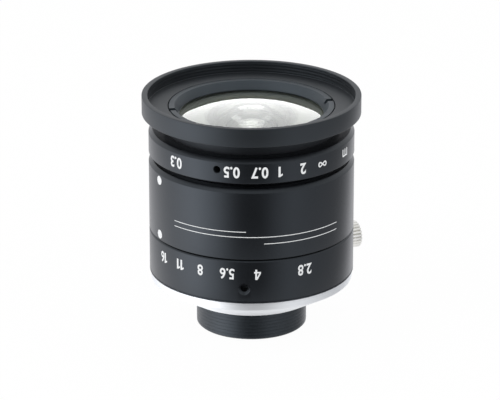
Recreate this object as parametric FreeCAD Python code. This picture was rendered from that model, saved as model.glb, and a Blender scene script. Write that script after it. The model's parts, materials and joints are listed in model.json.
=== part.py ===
import FreeCAD, Part
import math
import os

# A machine vision lens of fixed focal length that stands on its C-mount end, front glass up.
# Sizes are millimetres. The origin is on the optical axis in the plane of the mount's shoulder,
# and +Z points out of the front. An azimuth is counted from -Y, the side with the scales,
# towards +X. The lens is drawn at its nearest focus and with its iris closed.

# Fits
fixed_fit = 0.02
running_fit = 0.05
glass_fit = 0.05
end_float = 0.1
seam_gap = 0.15

# Mount end
mount_thread_radius = 12.7
mount_tube_length = 6.9
mount_tube_wall = 1.5
mount_neck_relief = 0.4
mount_flange_step = 0.5
mount_flange_thickness = 2.0
mount_edge_chamfer = 0.3
shoulder_width = 2.3
base_floor = 2.5
base_cone_height = 4.6
base_band_step = 0.3
base_band_height = 1.75
base_spigot_wall = 1.46
base_spigot_height = 2.65
lock_ring_overlap = 0.7
lock_ring_height = 1.8

# Rings and sleeve that make the outside
body_radius = 23.5
iris_ring_wall = 1.95
body_foot_wall = 2.0
iris_ring_height = 10.25
iris_ring_chamfer = 0.35
stop_flange_width = 1.0
stop_flange_thickness = 0.8
sleeve_length = 16.75
sleeve_wall = 1.5
sleeve_land_height = 3.65
sleeve_lip_height = 2.2
sleeve_chamfer = 0.85
edge_break = 0.15
focus_gap = 1.3
focus_ring_height = 5.7
focus_ring_chamfer = 0.85
focus_ring_bevel = 0.25
focus_skirt_wall = 0.7
focus_nut_height = 1.6
body_tube_step = 1.5
body_tube_wall = 2.45
body_tube_rise = 1.1

# Focus and iris travel
focus_travel_angle = 108.8
helicoid_lead = 2.0
iris_travel_angle = 97.0

# Locking screws and their holes
lock_hole_radius = 0.85
lock_hole_chamfer = 0.12
iris_hole_countersink = 0.6
lock_screw_radius = 0.8
lock_screw_collar_radius = 1.6
lock_screw_collar_height = 0.65
lock_screw_head_radius = 3.1
lock_screw_head_height = 3.2
lock_screw_knurl_depth = 0.22
lock_screw_teeth = 24
lock_hole_spacing = 120.0
focus_hole_azimuth = -19.2
focus_hole_height = 3.1
iris_hole_azimuth = -4.1
iris_hole_height = 3.4

# Front hood
hood_overhang = 1.5
hood_wall = 1.4
hood_gap = 2.95
hood_underside_rise = 0.6
hood_rim_height = 4.25
hood_edge = 0.2
hood_foot_width = 0.5
filter_thread_depth = 2.65
hood_floor = 0.75
hood_floor_gap = 0.2

# Lens barrel
barrel_wall = 2.0
barrel_foot = 0.2
barrel_lift = 1.7
neck_spigot_step = 0.4
neck_wall = 1.03
front_ring_height = 2.35
front_ring_lip_width = 1.25
front_ring_lip_bevel = 0.15
front_ring_cone_height = 1.8
front_ring_cover = 1.8
spanner_slot_width = 1.5
spanner_slot_depth = 1.0
spanner_slot_azimuth = -79.5
front_glass_step = 0.6
front_glass_rim = 4.0
front_glass_curve = 60.0
front_glass_bowl_radius = 10.1
front_glass_bowl_curve = 11.8
front_spacer_height = 1.2
front_spacer_bore = 10.6
seat_width = 2.0

# Front group behind the first glass
second_bore_step = 2.5
second_glass_rim = 2.4
second_glass_curve = 28.0
second_glass_bowl_radius = 8.2
second_glass_bowl_curve = 13.0
second_ring_height = 1.8
second_air_gap = 1.75
third_glass_rim = 3.0
third_glass_front_curve = 22.0
third_glass_back_curve = 30.0
third_air_gap = 2.65
fourth_glass_rim = 2.0
fourth_glass_front_curve = 18.0
fourth_glass_back_curve = 60.0
glass_land = 0.75
spacer_wall = 1.15

# Iris
iris_plate_wall = 2.6
iris_plate_thickness = 1.3
iris_open_radius = 4.5
iris_pivot_offset = 0.4
iris_blade_count = 6
iris_blade_width = 2.6
iris_blade_swing = 36.0
iris_blade_slope = 0.18
iris_blade_thickness = 0.05
iris_pin_radius = 0.35
iris_pin_fit = 0.03
iris_pin_grip = 0.9
cam_path_steps = 8
cam_ring_web = 1.3
cam_ring_step = 0.4
cam_ring_room = 1.8
barrel_web = 1.9
drive_pin_radius = 0.8
drive_pin_azimuth = 228.5
drive_pin_rise = 1.3
drive_pin_grip = 2.45
drive_pin_seat = 1.1
drive_slot_margin = 1.0

# Guide screw
guide_screw_radius = 1.0
guide_screw_head_radius = 1.7
guide_screw_head_height = 0.9
guide_screw_reach = 0.8
guide_screw_slot_width = 0.4
guide_screw_azimuth = 180.0
guide_screw_rise = 5.75
guide_slot_depth = 1.0

# Rear group
rear_cell_room = 0.6
rear_cell_wall = 1.6
rear_cell_flange = 1.8
rear_cell_lip = 1.6
rear_cell_opening = 5.5
rear_cell_foot = 0.2
fifth_glass_rim = 2.8
fifth_glass_front_curve = 40.0
fifth_glass_back_curve = 30.0
rear_front_spacer_height = 2.0
sixth_glass_rim = 1.6
sixth_glass_curve = 20.0
rear_air_gap = 1.0
rear_glass_rim = 1.8
rear_glass_front_curve = 24.0
rear_glass_back_curve = 40.0
rear_ring_height = 2.0
rear_ring_cover = 1.35

# Radii, from the outside inwards
iris_bearing_radius = body_radius - iris_ring_wall - running_fit
stop_flange_radius = iris_bearing_radius + stop_flange_width
sleeve_bore_radius = body_radius - sleeve_wall
base_band_radius = body_radius - base_band_step
hood_radius = body_radius + hood_overhang
filter_thread_radius = hood_radius - hood_wall
spigot_radius = iris_bearing_radius - body_foot_wall - fixed_fit
lock_ring_radius = spigot_radius - base_spigot_wall - fixed_fit
mount_flange_radius = lock_ring_radius - mount_flange_step
mount_neck_radius = mount_thread_radius - mount_neck_relief
mount_bore_radius = mount_thread_radius - mount_tube_wall
shoulder_radius = mount_thread_radius + shoulder_width
body_tube_radius = iris_bearing_radius - body_tube_step
barrel_bore_radius = body_tube_radius - body_tube_wall
barrel_radius = barrel_bore_radius - running_fit
neck_radius = body_tube_radius - end_float
helicoid_radius = neck_radius + running_fit
neck_spigot_radius = neck_radius - neck_spigot_step
skirt_inner_radius = body_tube_radius + running_fit
skirt_outer_radius = skirt_inner_radius + focus_skirt_wall
lip_radius = skirt_outer_radius + running_fit
front_ring_radius = neck_radius - neck_wall - fixed_fit
front_glass_radius = front_ring_radius - front_glass_step - glass_fit
front_ring_bore_radius = front_glass_radius - front_ring_cover
front_chamber_radius = barrel_radius - barrel_wall
second_glass_radius = front_chamber_radius - second_bore_step - glass_fit
third_glass_radius = second_glass_radius - seat_width
fourth_glass_radius = third_glass_radius - seat_width
iris_plate_radius = barrel_radius - iris_plate_wall - fixed_fit
cam_ring_rim_radius = iris_plate_radius + fixed_fit - cam_ring_step - running_fit
iris_pivot_radius = iris_open_radius + iris_blade_width / 2.0 + iris_pivot_offset
cam_ring_room_radius = iris_pivot_radius + cam_ring_room
drive_pin_reach = cam_ring_rim_radius - drive_pin_grip
rear_cell_radius = mount_bore_radius - rear_cell_room
rear_bore_radius = rear_cell_radius - rear_cell_wall
rear_glass_radius = rear_bore_radius - glass_fit
rear_ring_bore = rear_glass_radius - rear_ring_cover


def bulge(radius, curve):
    """How far a polished surface rises between its edge and the optical axis."""
    return curve - math.sqrt(curve * curve - radius * radius)


# Polished radii of the surfaces that face another surface across an air gap
third_front_polished = third_glass_radius - spacer_wall - glass_land
third_back_polished = fourth_glass_radius - spacer_wall - glass_land
fourth_front_polished = fourth_glass_radius - spacer_wall - glass_land / 2.0
rear_polished = rear_glass_radius - glass_land

# Heights above the shoulder, from the mount to the front
base_top = base_cone_height + base_band_height
iris_ring_bottom = base_top + end_float
iris_ring_top = iris_ring_bottom + iris_ring_height
sleeve_bottom = iris_ring_top + seam_gap
sleeve_top = sleeve_bottom + sleeve_length
focus_ring_bottom = sleeve_top + focus_gap
focus_ring_top = focus_ring_bottom + focus_ring_height
body_tube_top = focus_ring_bottom + body_tube_rise
hood_bottom = focus_ring_top + hood_gap
hood_top = hood_bottom + hood_underside_rise + hood_rim_height
hood_floor_top = hood_top - filter_thread_depth
neck_top = hood_floor_top - hood_floor
front_ring_bottom = hood_floor_top - front_ring_height
front_glass_back = front_ring_bottom - front_glass_rim
front_seat = front_glass_back - front_spacer_height
focus_travel = helicoid_lead * focus_travel_angle / 360.0
neck_bottom = body_tube_top + focus_travel + 3.0 * end_float
focus_hole_z = focus_ring_bottom + focus_hole_height
iris_hole_z = iris_ring_bottom + iris_hole_height

# Heights of the groups that are held about the iris
lock_ring_top = base_floor + mount_flange_thickness + lock_ring_height
barrel_bottom = lock_ring_top + focus_travel + barrel_lift
rear_flange_bottom = barrel_bottom + barrel_foot
rear_flange_top = rear_flange_bottom + rear_cell_flange
iris_plate_height = rear_flange_top + iris_plate_thickness
guide_screw_height = sleeve_bottom + guide_screw_rise
cam_ring_bottom = iris_plate_height + end_float
blade_pin_span = 2.0 * iris_pivot_radius * math.cos(math.radians(iris_blade_swing / 2.0))
blade_climb = iris_blade_slope * (blade_pin_span + 1.5 * iris_blade_width)
cam_web_bottom = iris_plate_height + blade_climb + iris_blade_thickness + 2.0 * end_float
cam_ring_top = cam_web_bottom + cam_ring_web
barrel_web_bottom = cam_ring_top + end_float
fourth_seat = barrel_web_bottom + barrel_web
fourth_glass_top = fourth_seat + fourth_glass_rim
fourth_bulge = bulge(fourth_front_polished, fourth_glass_front_curve)
third_bulge = bulge(third_back_polished, third_glass_back_curve)
third_seat = fourth_glass_top + fourth_bulge + third_air_gap + third_bulge
third_glass_top = third_seat + third_glass_rim
second_seat = third_glass_top + second_air_gap + bulge(third_front_polished, third_glass_front_curve)
second_glass_top = second_seat + second_glass_rim
second_ring_top = second_glass_top + second_ring_height
fifth_glass_top = rear_flange_top - rear_cell_lip
fifth_glass_bottom = fifth_glass_top - fifth_glass_rim
sixth_glass_top = fifth_glass_bottom - rear_front_spacer_height
sixth_glass_bottom = sixth_glass_top - sixth_glass_rim
sixth_bulge = bulge(rear_polished, sixth_glass_curve)
rear_glass_top = sixth_glass_bottom - sixth_bulge - rear_air_gap - bulge(
    rear_polished, rear_glass_front_curve)
rear_glass_bottom = rear_glass_top - rear_glass_rim
rear_ring_bottom = rear_glass_bottom - rear_ring_height
rear_cell_bottom = rear_ring_bottom - rear_cell_foot
drive_pin_z = iris_plate_height + drive_pin_rise


def turn(azimuth):
    """The angle about +Z, from +X, of an azimuth counted from -Y."""
    return azimuth - 90.0


def point(radius, azimuth, height=0.0):
    angle = math.radians(turn(azimuth))
    return FreeCAD.Vector(radius * math.cos(angle), radius * math.sin(angle), height)


def revolve(edges):
    face = Part.Face(Part.Wire(edges))
    return face.revolve(FreeCAD.Vector(0, 0, 0), FreeCAD.Vector(0, 0, 1), 360)


def turned(profile):
    """A lathe-turned piece from the corners (radius, height) of its half section."""
    corners = [FreeCAD.Vector(radius, 0, height) for radius, height in profile]
    return revolve(Part.makePolygon(corners + corners[:1]).Edges)


def ring(inner, outer, low, high):
    return turned([(inner, low), (outer, low), (outer, high), (inner, high)])


def radial_pin(radius, inner, outer, azimuth, height):
    """A cylinder whose axis runs outwards from the optical axis."""
    start = point(inner, azimuth, height)
    return Part.makeCylinder(radius, outer - inner, start, point(1.0, azimuth))


def radial_cone(inner_radius, outer_radius, inner, outer, azimuth, height):
    start = point(inner, azimuth, height)
    return Part.makeCone(inner_radius, outer_radius, outer - inner, start, point(1.0, azimuth))


def around_slot(inner, outer, low, high, first, last):
    """A slot cut through a tube's wall, part of the way around it, with round ends."""
    middle = (low + high) / 2.0
    half = (high - low) / 2.0
    corners = [(inner, low), (outer, low), (outer, high), (inner, high)]
    section = [FreeCAD.Vector(radius, 0, height) for radius, height in corners]
    face = Part.Face(Part.makePolygon(section + section[:1]))
    face.rotate(FreeCAD.Vector(0, 0, 0), FreeCAD.Vector(0, 0, 1), turn(first))
    slot = face.revolve(FreeCAD.Vector(0, 0, 0), FreeCAD.Vector(0, 0, 1), last - first)
    for azimuth in (first, last):
        slot = slot.fuse(radial_pin(half, inner, outer, azimuth, middle))
    return slot


def cap_edge(radius, height, curve, side):
    """The arc from the optical axis to a lens surface's edge, bulging towards side."""
    middle_radius = radius / 2.0
    middle_sag = bulge(middle_radius, curve)
    top = height + side * bulge(radius, curve)
    start = FreeCAD.Vector(0, 0, top)
    middle = FreeCAD.Vector(middle_radius, 0, top - side * middle_sag)
    return Part.Arc(start, middle, FreeCAD.Vector(radius, 0, height)).toShape()


def lens(radius, low, high, front, back):
    """A lens with flat lands at its rim.

    front and back give each polished surface: its edge radius, its radius of curvature, and 1
    where it bulges towards +Z or -1 where it bulges towards -Z.
    """
    front_radius, front_curve, front_side = front
    back_radius, back_curve, back_side = back
    front_arc = cap_edge(front_radius, high, front_curve, front_side)
    back_arc = cap_edge(back_radius, low, back_curve, back_side)
    axis = Part.LineSegment(back_arc.Vertexes[0].Point, front_arc.Vertexes[0].Point).toShape()
    corners = [
        FreeCAD.Vector(front_radius, 0, high),
        FreeCAD.Vector(radius, 0, high),
        FreeCAD.Vector(radius, 0, low),
        FreeCAD.Vector(back_radius, 0, low),
    ]
    rim = Part.makePolygon(corners).Edges
    return revolve([axis, front_arc] + rim + [back_arc])


# Fixed parts


def make_mount_tube():
    end = -mount_tube_length
    flange_top = base_floor + mount_flange_thickness
    return turned([
        (mount_bore_radius, end),
        (mount_thread_radius - mount_edge_chamfer, end),
        (mount_thread_radius, end + mount_edge_chamfer),
        (mount_thread_radius, 0.0),
        (mount_neck_radius, 0.0),
        (mount_neck_radius, base_floor),
        (mount_flange_radius, base_floor),
        (mount_flange_radius, flange_top),
        (mount_bore_radius, flange_top),
    ])


def make_base_ring():
    pocket = mount_flange_radius + fixed_fit
    ledge = base_floor + mount_flange_thickness
    thread = lock_ring_radius + fixed_fit
    spigot_top = base_top + base_spigot_height
    return turned([
        (mount_thread_radius + fixed_fit, 0.0),
        (shoulder_radius, 0.0),
        (base_band_radius, base_cone_height),
        (base_band_radius, base_top - edge_break),
        (base_band_radius - edge_break, base_top),
        (spigot_radius, base_top),
        (spigot_radius, spigot_top),
        (thread, spigot_top),
        (thread, ledge),
        (pocket, ledge),
        (pocket, base_floor),
        (mount_thread_radius + fixed_fit, base_floor),
    ])


def make_mount_lock_ring():
    low = base_floor + mount_flange_thickness
    inner = mount_thread_radius - lock_ring_overlap
    body = ring(inner, lock_ring_radius, low, lock_ring_top)
    return cut_spanner_slots(body, lock_ring_top, spanner_slot_depth, lock_ring_radius)


def make_main_body():
    spigot_bore = spigot_radius + fixed_fit
    spigot_top = base_top + base_spigot_height + end_float
    land_top = sleeve_bottom + sleeve_land_height
    body = turned([
        (spigot_bore, base_top),
        (iris_bearing_radius, base_top),
        (iris_bearing_radius, sleeve_bottom - stop_flange_thickness),
        (stop_flange_radius, sleeve_bottom - stop_flange_thickness),
        (stop_flange_radius, sleeve_bottom),
        (iris_bearing_radius, sleeve_bottom),
        (iris_bearing_radius, land_top),
        (body_tube_radius, land_top),
        (body_tube_radius, body_tube_top),
        (barrel_bore_radius, body_tube_top),
        (barrel_bore_radius, spigot_top),
        (spigot_bore, spigot_top),
    ])
    half = drive_pin_radius + end_float
    low = drive_pin_z - half
    high = drive_pin_z + half
    first, last = drive_slot_span()
    inside = barrel_radius - end_float
    slot = around_slot(inside, body_radius, low, high, first, last)
    head_seat = body_tube_radius - guide_screw_head_height
    screw_hole = radial_pin(
        guide_screw_radius + fixed_fit, inside, body_radius,
        guide_screw_azimuth, guide_screw_height)
    head_hole = radial_pin(
        guide_screw_head_radius + fixed_fit, head_seat, body_radius,
        guide_screw_azimuth, guide_screw_height)
    return body.cut([slot, screw_hole, head_hole])


def drive_slot_span():
    """First and last azimuth of the slots that the iris drive pin sweeps."""
    first = drive_pin_azimuth - iris_travel_angle - drive_slot_margin
    return first, drive_pin_azimuth + drive_slot_margin


def make_guide_screw():
    head_seat = body_tube_radius - guide_screw_head_height
    shank = radial_pin(
        guide_screw_radius, barrel_radius - guide_screw_reach, head_seat,
        guide_screw_azimuth, guide_screw_height)
    head = radial_pin(
        guide_screw_head_radius, head_seat, body_tube_radius - end_float,
        guide_screw_azimuth, guide_screw_height)
    width = guide_screw_slot_width
    slot = Part.makeBox(guide_screw_head_radius * 2.0, width, width)
    slot.translate(FreeCAD.Vector(-guide_screw_head_radius, -width, -width / 2.0))
    slot.rotate(FreeCAD.Vector(0, 0, 0), FreeCAD.Vector(0, 0, 1), guide_screw_azimuth)
    slot.translate(point(body_tube_radius - end_float, guide_screw_azimuth, guide_screw_height))
    return shank.fuse(head).cut(slot).removeSplitter()


def make_outer_sleeve():
    land_top = sleeve_bottom + sleeve_land_height
    lip_bottom = sleeve_top - sleeve_lip_height
    land_bore = iris_bearing_radius + fixed_fit
    return turned([
        (land_bore, sleeve_bottom),
        (body_radius - edge_break, sleeve_bottom),
        (body_radius, sleeve_bottom + edge_break),
        (body_radius, sleeve_top - sleeve_chamfer),
        (body_radius - sleeve_chamfer, sleeve_top),
        (lip_radius, sleeve_top),
        (lip_radius, lip_bottom),
        (sleeve_bore_radius, lip_bottom),
        (sleeve_bore_radius, land_top),
        (land_bore, land_top),
    ])


# Focus ring and its screw


def make_focus_ring():
    skirt_bottom = sleeve_top - sleeve_lip_height - end_float - focus_nut_height
    step = body_tube_top + end_float
    body = turned([
        (skirt_inner_radius, skirt_bottom),
        (skirt_outer_radius, skirt_bottom),
        (skirt_outer_radius, focus_ring_bottom),
        (body_radius - focus_ring_bevel, focus_ring_bottom),
        (body_radius, focus_ring_bottom + focus_ring_bevel),
        (body_radius, focus_ring_top - focus_ring_chamfer),
        (body_radius - focus_ring_chamfer, focus_ring_top),
        (helicoid_radius, focus_ring_top),
        (helicoid_radius, step),
        (skirt_inner_radius, step),
    ])
    return cut_lock_holes(body, focus_hole_azimuth, focus_hole_z, lock_hole_chamfer)


def make_focus_ring_nut():
    top = sleeve_top - sleeve_lip_height - end_float
    inner = skirt_outer_radius + fixed_fit
    return ring(inner, sleeve_bore_radius - end_float, top - focus_nut_height, top)


def cut_lock_holes(body, azimuth, height, chamfer):
    """Three tapped holes through a ring's wall, each with a chamfered mouth."""
    for index in range(3):
        place = azimuth + index * lock_hole_spacing
        hole = radial_pin(lock_hole_radius, barrel_radius, hood_radius, place, height)
        mouth = radial_cone(
            lock_hole_radius, lock_hole_radius + 2.0 * chamfer,
            body_radius - chamfer, body_radius + chamfer, place, height)
        body = body.cut([hole, mouth])
    return body


def make_lock_screw(tip, azimuth, height):
    """A thumb screw: a knurled head on a collar, and a shank that reaches down to tip."""
    collar_top = body_radius + lock_screw_collar_height
    head_top = collar_top + lock_screw_head_height
    shank = radial_pin(lock_screw_radius, tip, collar_top, azimuth, height)
    collar_bottom = body_radius + end_float
    collar = radial_pin(lock_screw_collar_radius, collar_bottom, collar_top, azimuth, height)
    root = lock_screw_head_radius - lock_screw_knurl_depth
    corners = []
    for index in range(2 * lock_screw_teeth + 1):
        angle = math.pi * index / lock_screw_teeth
        radius = root if index % 2 else lock_screw_head_radius
        corners.append(FreeCAD.Vector(radius * math.cos(angle), radius * math.sin(angle), 0))
    knurl = Part.Face(Part.makePolygon(corners)).extrude(
        FreeCAD.Vector(0, 0, lock_screw_head_height))
    bevel = lock_screw_knurl_depth
    envelope_profile = [
        (0.0, 0.0),
        (root, 0.0),
        (lock_screw_head_radius + bevel, 2.0 * bevel),
        (lock_screw_head_radius + bevel, lock_screw_head_height - 2.0 * bevel),
        (root, lock_screw_head_height),
        (0.0, lock_screw_head_height),
    ]
    head = knurl.common(turned(envelope_profile))
    head.Placement = FreeCAD.Placement(
        point(collar_top, azimuth, height),
        FreeCAD.Rotation(FreeCAD.Vector(0, 0, 1), point(1.0, azimuth)))
    return shank.fuse([collar, head]).removeSplitter()


def make_focus_lock_screw():
    azimuth = focus_hole_azimuth - lock_hole_spacing
    return make_lock_screw(neck_radius + end_float, azimuth, focus_hole_z)


# Iris ring and its screw


def make_iris_ring():
    inner = iris_bearing_radius + running_fit
    counterbore = stop_flange_radius + running_fit
    step = sleeve_bottom - stop_flange_thickness - end_float
    body = turned([
        (inner, iris_ring_bottom),
        (body_radius - edge_break, iris_ring_bottom),
        (body_radius, iris_ring_bottom + edge_break),
        (body_radius, iris_ring_top - iris_ring_chamfer),
        (body_radius - iris_ring_chamfer, iris_ring_top),
        (counterbore, iris_ring_top),
        (counterbore, step),
        (inner, step),
    ])
    body = cut_lock_holes(body, iris_hole_azimuth, iris_hole_z, iris_hole_countersink)
    pin_hole = radial_pin(
        drive_pin_radius + fixed_fit, barrel_radius, inner + drive_pin_seat + end_float,
        drive_pin_azimuth, drive_pin_z)
    return body.cut(pin_hole)


def make_iris_drive_pin():
    outer = iris_bearing_radius + running_fit + drive_pin_seat
    return radial_pin(drive_pin_radius, drive_pin_reach, outer, drive_pin_azimuth, drive_pin_z)


def make_iris_lock_screw():
    azimuth = iris_hole_azimuth + lock_hole_spacing
    return make_lock_screw(iris_bearing_radius + end_float, azimuth, iris_hole_z)


# Lens barrel, hood and front glass


def make_lens_barrel():
    ring_thread = front_ring_radius + fixed_fit
    glass_bore = front_glass_radius + glass_fit
    second_bore = second_glass_radius + glass_fit
    third_bore = third_glass_radius + glass_fit
    fourth_bore = fourth_glass_radius + glass_fit
    plate_bore = iris_plate_radius + fixed_fit
    cam_bore = cam_ring_rim_radius + running_fit
    throat = fourth_bore - seat_width
    body = turned([
        (plate_bore, barrel_bottom),
        (barrel_radius, barrel_bottom),
        (barrel_radius, neck_bottom),
        (neck_radius, neck_bottom),
        (neck_radius, hood_bottom),
        (neck_spigot_radius, hood_bottom),
        (neck_spigot_radius, neck_top),
        (ring_thread, neck_top),
        (ring_thread, front_ring_bottom - end_float),
        (glass_bore, front_ring_bottom - end_float),
        (glass_bore, front_seat),
        (front_chamber_radius, front_seat),
        (front_chamber_radius, second_ring_top + end_float),
        (second_bore, second_ring_top + end_float),
        (second_bore, second_seat),
        (third_bore, second_seat),
        (third_bore, third_seat),
        (fourth_bore, third_seat),
        (fourth_bore, fourth_seat),
        (throat, fourth_seat),
        (iris_pivot_radius, barrel_web_bottom),
        (cam_bore, barrel_web_bottom),
        (cam_bore, iris_plate_height),
        (plate_bore, iris_plate_height),
    ])
    first, last = drive_slot_span()
    half = drive_pin_radius + end_float
    pin_slot = around_slot(
        cam_ring_rim_radius, neck_radius,
        drive_pin_z - half, drive_pin_z + half + focus_travel, first, last)
    guide_slot = make_guide_slot()
    return body.cut([pin_slot, guide_slot])


def make_guide_slot():
    """The straight slot that the guide screw's tip rides in, with round ends."""
    half = guide_screw_radius + iris_pin_fit
    floor = barrel_radius - guide_slot_depth
    low = guide_screw_height - end_float
    high = guide_screw_height + focus_travel + end_float
    slot = Part.makeBox(2.0 * half, neck_radius - floor, high - low)
    slot.translate(FreeCAD.Vector(-half, -neck_radius, low))
    slot.rotate(FreeCAD.Vector(0, 0, 0), FreeCAD.Vector(0, 0, 1), guide_screw_azimuth)
    for height in (low, high):
        slot = slot.fuse(radial_pin(half, floor, neck_radius, guide_screw_azimuth, height))
    return slot


def make_front_hood():
    rim_bottom = hood_bottom + hood_underside_rise
    spigot_bore = neck_spigot_radius + fixed_fit
    floor_bore = front_ring_radius + hood_floor_gap
    return turned([
        (spigot_bore, hood_bottom),
        (neck_radius + hood_foot_width, hood_bottom),
        (hood_radius - hood_edge, rim_bottom),
        (hood_radius, rim_bottom + hood_edge),
        (hood_radius, hood_top - hood_edge),
        (hood_radius - hood_edge, hood_top),
        (filter_thread_radius + hood_edge, hood_top),
        (filter_thread_radius, hood_top - hood_edge),
        (filter_thread_radius, hood_floor_top),
        (floor_bore, hood_floor_top),
        (floor_bore, neck_top),
        (spigot_bore, neck_top),
    ])


def cut_spanner_slots(body, top, depth, reach):
    """Two slots across a ring's face for a pin spanner."""
    length = 2.0 * (reach + spanner_slot_width)
    slot = Part.makeBox(spanner_slot_width, length, depth + end_float)
    slot.translate(FreeCAD.Vector(-spanner_slot_width / 2.0, -length / 2.0, top - depth))
    slot.rotate(FreeCAD.Vector(0, 0, 0), FreeCAD.Vector(0, 0, 1), spanner_slot_azimuth)
    return body.cut(slot)


def make_front_retaining_ring():
    seat_bore = front_ring_bore_radius + 2.0 * front_ring_lip_bevel
    lip_inner = front_ring_radius - front_ring_lip_bevel - front_ring_lip_width
    cone_bottom = hood_floor_top - front_ring_cone_height
    body = turned([
        (seat_bore, front_ring_bottom),
        (front_ring_radius, front_ring_bottom),
        (front_ring_radius, hood_floor_top - front_ring_lip_bevel),
        (front_ring_radius - front_ring_lip_bevel, hood_floor_top),
        (lip_inner, hood_floor_top),
        (front_ring_bore_radius, cone_bottom),
        (front_ring_bore_radius, front_ring_bottom + 2.0 * front_ring_lip_bevel),
    ])
    return cut_spanner_slots(body, hood_floor_top, spanner_slot_depth, front_ring_radius)


def make_front_element():
    polished = front_ring_bore_radius + front_ring_lip_bevel
    return lens(
        front_glass_radius, front_glass_back, front_ring_bottom,
        (polished, front_glass_curve, 1),
        (front_glass_bowl_radius, front_glass_bowl_curve, 1))


def make_front_spacer():
    return turned([
        (front_spacer_bore, front_glass_back),
        (front_chamber_radius, front_seat),
        (front_glass_radius, front_seat),
        (front_glass_radius, front_glass_back),
    ])


def make_second_element():
    polished = second_glass_radius - 2.0 * glass_land
    return lens(
        second_glass_radius, second_seat, second_glass_top,
        (polished, second_glass_curve, 1),
        (second_glass_bowl_radius, second_glass_bowl_curve, 1))


def make_second_retaining_ring():
    inner = second_glass_radius - glass_land
    body = ring(inner, second_glass_radius, second_glass_top, second_ring_top)
    return cut_spanner_slots(body, second_ring_top, spanner_slot_depth, second_glass_radius)


def make_second_spacer():
    inner = third_glass_radius - spacer_wall
    return ring(inner, third_glass_radius, third_glass_top, second_seat)


def make_third_element():
    return lens(
        third_glass_radius, third_seat, third_glass_top,
        (third_front_polished, third_glass_front_curve, 1),
        (third_back_polished, third_glass_back_curve, -1))


def make_third_spacer():
    inner = fourth_glass_radius - spacer_wall
    return ring(inner, fourth_glass_radius, fourth_glass_top, third_seat)


def make_fourth_element():
    back_polished = fourth_glass_radius - seat_width - glass_land / 2.0
    return lens(
        fourth_glass_radius, fourth_seat, fourth_glass_top,
        (fourth_front_polished, fourth_glass_front_curve, 1),
        (back_polished, fourth_glass_back_curve, -1))


# Iris


def make_iris_base_plate():
    body = ring(
        iris_open_radius, iris_plate_radius,
        iris_plate_height - iris_plate_thickness, iris_plate_height)
    holes = []
    for index in range(iris_blade_count):
        centre = point(iris_pivot_radius, blade_azimuth(index), rear_flange_top)
        holes.append(Part.makeCylinder(
            iris_pin_radius + iris_pin_fit, iris_plate_thickness, centre))
    return body.cut(holes)


def blade_azimuth(index):
    return index * 360.0 / iris_blade_count


def make_iris_blade(index):
    """A thin crescent with a pivot rivet at one end and a drive rivet at the other.

    Its plane slopes up from the pivot to the drive rivet, so that each blade passes over the
    next one all the way round. It is drawn open, about the optical axis, with its pivot on +X,
    and then swung shut about that pivot.
    """
    origin = FreeCAD.Vector(0, 0, 0)
    up = FreeCAD.Vector(0, 0, 1)
    inner = iris_open_radius
    outer = iris_open_radius + iris_blade_width
    middle = (inner + outer) / 2.0
    span = 180.0 - iris_blade_swing

    def at(radius, angle):
        turned_angle = math.radians(angle)
        return FreeCAD.Vector(
            radius * math.cos(turned_angle), radius * math.sin(turned_angle), 0)

    cap = iris_blade_width / 2.0
    near_tip = at(middle, 0.0) - FreeCAD.Vector(0, cap, 0)
    along = FreeCAD.Vector(
        -math.sin(math.radians(span)), math.cos(math.radians(span)), 0)
    far_tip = at(middle, span) + along * cap
    outline = Part.Wire([
        Part.Arc(at(outer, 0.0), at(outer, span / 2.0), at(outer, span)).toShape(),
        Part.Arc(at(outer, span), far_tip, at(inner, span)).toShape(),
        Part.Arc(at(inner, span), at(inner, span / 2.0), at(inner, 0.0)).toShape(),
        Part.Arc(at(inner, 0.0), near_tip, at(outer, 0.0)).toShape(),
    ])
    prism = Part.Face(outline).extrude(FreeCAD.Vector(0, 0, cam_ring_top))
    pivot = FreeCAD.Vector(iris_pivot_radius, 0, 0)
    prism.rotate(pivot, up, iris_blade_swing)

    blade_line = 180.0 + iris_blade_swing / 2.0
    slab_length = 6.0 * iris_pivot_radius
    slab = Part.makeBox(slab_length, slab_length, iris_blade_thickness)
    slab.translate(FreeCAD.Vector(-slab_length / 2.0, -slab_length / 2.0, 0))
    slope_angle = math.degrees(math.atan(iris_blade_slope))
    slab.rotate(origin, FreeCAD.Vector(0, 1, 0), -slope_angle)
    slab.rotate(origin, up, blade_line)
    pivot_height = blade_pivot_height()
    slab.translate(FreeCAD.Vector(iris_pivot_radius, 0, pivot_height))
    blade = prism.common(slab)

    pivot_bottom = iris_plate_height - iris_pin_grip
    pivot_pin = Part.makeCylinder(
        iris_pin_radius, pivot_height + iris_blade_thickness / 2.0 - pivot_bottom,
        FreeCAD.Vector(iris_pivot_radius, 0, pivot_bottom))
    drive_place = pivot + at(blade_pin_span, blade_line)
    drive_bottom = (
        pivot_height + iris_blade_slope * blade_pin_span + iris_blade_thickness / 2.0)
    drive_pin = Part.makeCylinder(
        iris_pin_radius, cam_ring_top - end_float - drive_bottom,
        drive_place + FreeCAD.Vector(0, 0, drive_bottom))
    blade = blade.fuse([pivot_pin, drive_pin])
    blade.rotate(origin, up, turn(blade_azimuth(index)))
    return blade


def blade_pivot_height():
    """Height of a blade's lower face at its pivot, so that its low tip clears the base plate."""
    return iris_plate_height + end_float + iris_blade_slope * iris_blade_width / 2.0


def cam_path(azimuth):
    """Places of one blade's drive rivet, seen from the cam ring, over the whole travel."""
    places = []
    for step in range(cam_path_steps + 1):
        share = step / cam_path_steps - 1.0
        ring_angle = iris_travel_angle * share
        blade_line = math.radians(180.0 + iris_blade_swing / 2.0 + iris_blade_swing * share)
        x = iris_pivot_radius + blade_pin_span * math.cos(blade_line)
        y = blade_pin_span * math.sin(blade_line)
        radius = math.hypot(x, y)
        drawn_angle = math.degrees(math.atan2(y, x))
        places.append(point(radius, azimuth + drawn_angle - ring_angle))
    return places


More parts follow.
